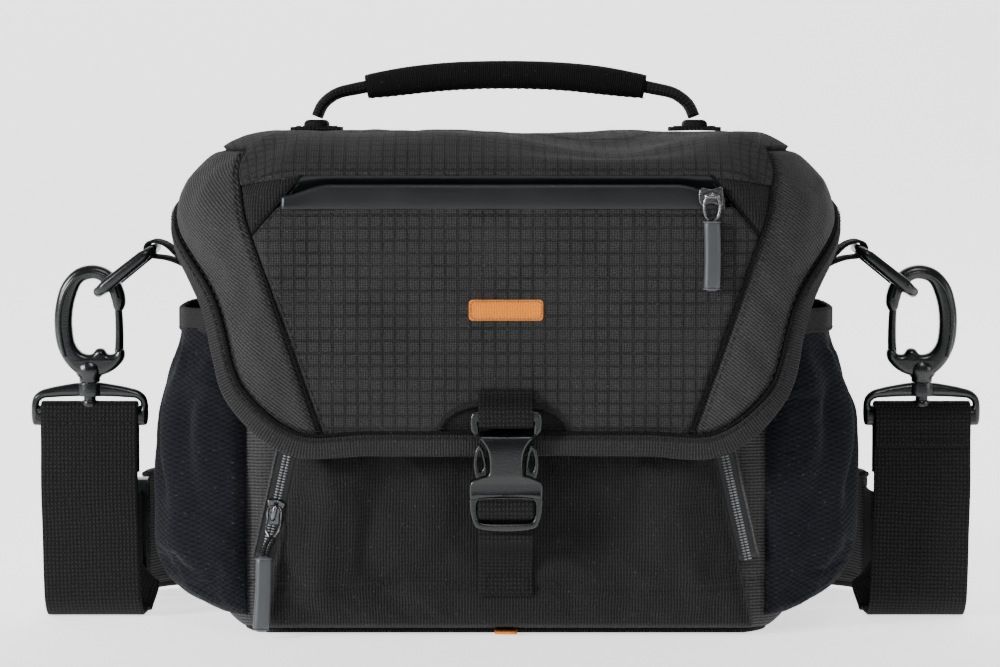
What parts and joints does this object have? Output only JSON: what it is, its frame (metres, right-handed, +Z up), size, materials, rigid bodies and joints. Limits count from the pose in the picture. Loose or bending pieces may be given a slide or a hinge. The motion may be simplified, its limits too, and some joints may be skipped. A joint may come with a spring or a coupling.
{
  "type": "camera bag",
  "caption": "Padded shoulder camera bag with a buckled flap lid, a phone pocket, stretch side pockets, a carry handle and a clip-on shoulder strap.",
  "frame": {"origin": "centre of the underside, on the flat base panel that the bag stands on", "axes": "+Z up; the flap and buckle face -Y; +X is to the right as seen from in front"},
  "size_m": [0.4296, 0.2101, 0.2541],
  "materials": {
    "ripstop": "charcoal ripstop cloth with a fine square grid, soft sheen",
    "body_cloth": "charcoal plain-weave nylon, matt",
    "stretch_mesh": "blue-black stretch cloth, matt, lightly creased",
    "binding": "charcoal ribbed tape",
    "webbing": "black ribbed webbing",
    "lining": "grey brushed lining",
    "foam": "closed-cell foam under grey lining",
    "board": "thin stiff plastic board",
    "black_plastic": "black moulded plastic, satin",
    "zip_tape": "blue-black coated zip tape, satin",
    "dark_metal": "black coated metal",
    "rubber": "dark cord with a grey soft tube grip",
    "accent": "orange woven tape",
    "rain_cloth": "thin coated grey cloth, folded"
  },
  "bodies": {
    "bag": {"base_panel": "body_cloth", "front_panel": "body_cloth", "rear_panel": "body_cloth", "left_gusset": "body_cloth", "right_gusset": "body_cloth", "foam_front": "foam", "foam_left": "foam", "foam_right": "foam", "foam_rear": "foam", "foam_base": "foam", "base_board": "board", "rain_cover": "rain_cloth", "rain_cover_tab": "accent", "divider_left": "lining", "divider_right": "lining", "front_pocket": "body_cloth", "front_zip": "zip_tape", "left_pocket": "stretch_mesh", "right_pocket": "stretch_mesh", "left_pocket_band": "binding", "right_pocket_band": "binding", "back_pad": "lining", "hinge_strip": "body_cloth", "ring_tab_left": "webbing", "ring_tab_right": "webbing", "buckle_tab": "webbing", "buckle_male": "black_plastic", "strap_web_left": "webbing", "strap_web_right": "webbing", "shoulder_pad": "binding", "strap_adjuster": "black_plastic"},
    "lid": {"lid_top": "ripstop", "lid_foam": "foam", "lid_wing_left": "body_cloth", "lid_wing_right": "body_cloth", "lid_pocket_panel": "ripstop", "lid_flap": "body_cloth", "lid_zip_tape_lower": "zip_tape", "lid_zip_tape_upper": "zip_tape", "lid_binding": "binding", "emblem_patch": "accent", "handle_foot_left": "webbing", "handle_foot_right": "webbing", "buckle_female": "black_plastic", "buckle_loop": "webbing"},
    "handle": {"handle_webbing": "webbing", "handle_grip": "binding"},
    "lid_slider": {"lid_zip_slider": "dark_metal"},
    "lid_pull": {"lid_zip_pull": "rubber"},
    "front_slider": {"front_zip_slider": "dark_metal"},
    "front_pull": {"front_zip_pull": "rubber"},
    "ring_left_body": {"ring_left": "black_plastic"},
    "ring_right_body": {"ring_right": "black_plastic"},
    "frame_left_body": {"strap_frame_left": "black_plastic"},
    "frame_right_body": {"strap_frame_right": "black_plastic"},
    "hook_left_body": {"hook_left": "black_plastic"},
    "hook_right_body": {"hook_right": "black_plastic"},
    "gate_left_body": {"gate_left": "black_plastic"},
    "gate_right_body": {"gate_right": "black_plastic"}
  },
  "joints": [
    {"name": "lid_hinge", "type": "hinge", "parent": "bag", "child": "lid", "pos_m": [0, 0.0805, 0.1945], "axis": [-1, 0, 0], "range_deg": [0, 110], "deforming": ["buckle_male"]},
    {"name": "handle_swing", "type": "hinge", "parent": "lid", "child": "handle", "pos_m": [0, 0.045, 0.2262], "axis": [1, 0, 0], "range_deg": [-80, 80]},
    {"name": "lid_zip_slide", "type": "slide", "parent": "lid", "child": "lid_slider", "axis": [1, 0, 0], "range_m": [-0.17, 0]},
    {"name": "lid_pull_swing", "type": "hinge", "parent": "lid_slider", "child": "lid_pull", "pos_m": [0.088, -0.0937, 0.1935], "axis": [-1, 0, 0], "range_deg": [0, 80]},
    {"name": "front_zip_slide", "type": "slide", "parent": "bag", "child": "front_slider", "axis": [0.2211, 0, 0.9753], "range_m": [0, 0.024]},
    {"name": "front_pull_swing", "type": "hinge", "parent": "front_slider", "child": "front_pull", "pos_m": [-0.1013, -0.06795, 0.0562], "axis": [-1, 0, 0], "range_deg": [0, 70]},
    {"name": "ring_swing_left", "type": "hinge", "parent": "bag", "child": "ring_left_body", "pos_m": [-0.159, -0.007, 0.168], "axis": [0, -1, 0], "range_deg": [-2.5, 2.5]},
    {"name": "frame_tilt_left", "type": "hinge", "parent": "bag", "child": "frame_left_body", "pos_m": [-0.1885, -0.007, 0.09], "axis": [1, 0, 0], "range_deg": [-3, 3]},
    {"name": "hook_swivel_left", "type": "hinge", "parent": "frame_left_body", "child": "hook_left_body", "pos_m": [-0.1885, -0.007, 0.107], "axis": [0, 0, 1], "range_deg": [-12, 12]},
    {"name": "gate_turn_left", "type": "hinge", "parent": "hook_left_body", "child": "gate_left_body", "pos_m": [-0.1755, -0.007, 0.1232], "axis": [0, -1, 0], "range_deg": [0, 25], "stiffness_Nm_per_rad": 0.005, "springref_deg": -17.19},
    {"name": "ring_swing_right", "type": "hinge", "parent": "bag", "child": "ring_right_body", "pos_m": [0.159, -0.007, 0.168], "axis": [0, 1, 0], "range_deg": [-2.5, 2.5]},
    {"name": "frame_tilt_right", "type": "hinge", "parent": "bag", "child": "frame_right_body", "pos_m": [0.1885, -0.007, 0.09], "axis": [1, 0, 0], "range_deg": [-3, 3]},
    {"name": "hook_swivel_right", "type": "hinge", "parent": "frame_right_body", "child": "hook_right_body", "pos_m": [0.1885, -0.007, 0.107], "axis": [0, 0, 1], "range_deg": [-12, 12]},
    {"name": "gate_turn_right", "type": "hinge", "parent": "hook_right_body", "child": "gate_right_body", "pos_m": [0.1755, -0.007, 0.1232], "axis": [0, 1, 0], "range_deg": [0, 25], "stiffness_Nm_per_rad": 0.005, "springref_deg": -17.19}
  ]
}
